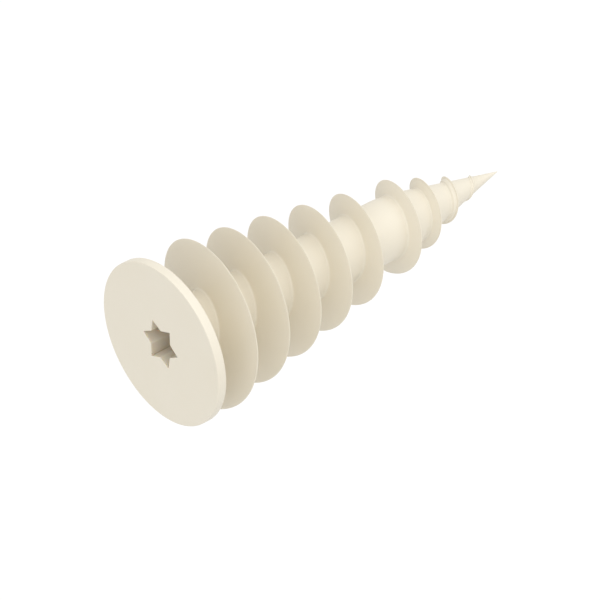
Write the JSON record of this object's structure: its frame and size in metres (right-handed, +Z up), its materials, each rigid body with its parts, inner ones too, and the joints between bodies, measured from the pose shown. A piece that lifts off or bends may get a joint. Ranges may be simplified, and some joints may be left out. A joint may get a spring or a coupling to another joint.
{
  "type": "self-drilling wall anchor",
  "caption": "Self-drilling moulded anchor for soft wall board: a wide flange with a star drive socket and screw bore, and a spiral flight that narrows to a sharp point.",
  "frame": {"origin": "on the anchor's axis, in the plane of the flange's underside, which is the wall's surface", "axes": "+Y along the anchor's axis into the wall, towards the point; the flange's outer face looks towards -Y; +Z up, with the star socket's first point 3 degrees below +X"},
  "size_m": [0.024, 0.061, 0.0241],
  "materials": {
    "moulded_nylon": "natural ivory moulded nylon, satin, slightly translucent at thin edges"
  },
  "bodies": {
    "root": {"flange": "moulded_nylon", "socket_neck": "moulded_nylon", "shank": "moulded_nylon", "shoulder": "moulded_nylon", "nose": "moulded_nylon", "point": "moulded_nylon", "main_flight_1": "moulded_nylon", "main_flight_2": "moulded_nylon", "main_flight_3": "moulded_nylon", "main_flight_4": "moulded_nylon", "main_flight_5": "moulded_nylon", "lead_flight_1": "moulded_nylon", "lead_flight_2": "moulded_nylon", "lead_flight_3": "moulded_nylon", "lead_flight_4": "moulded_nylon"}
  },
  "joints": []
}
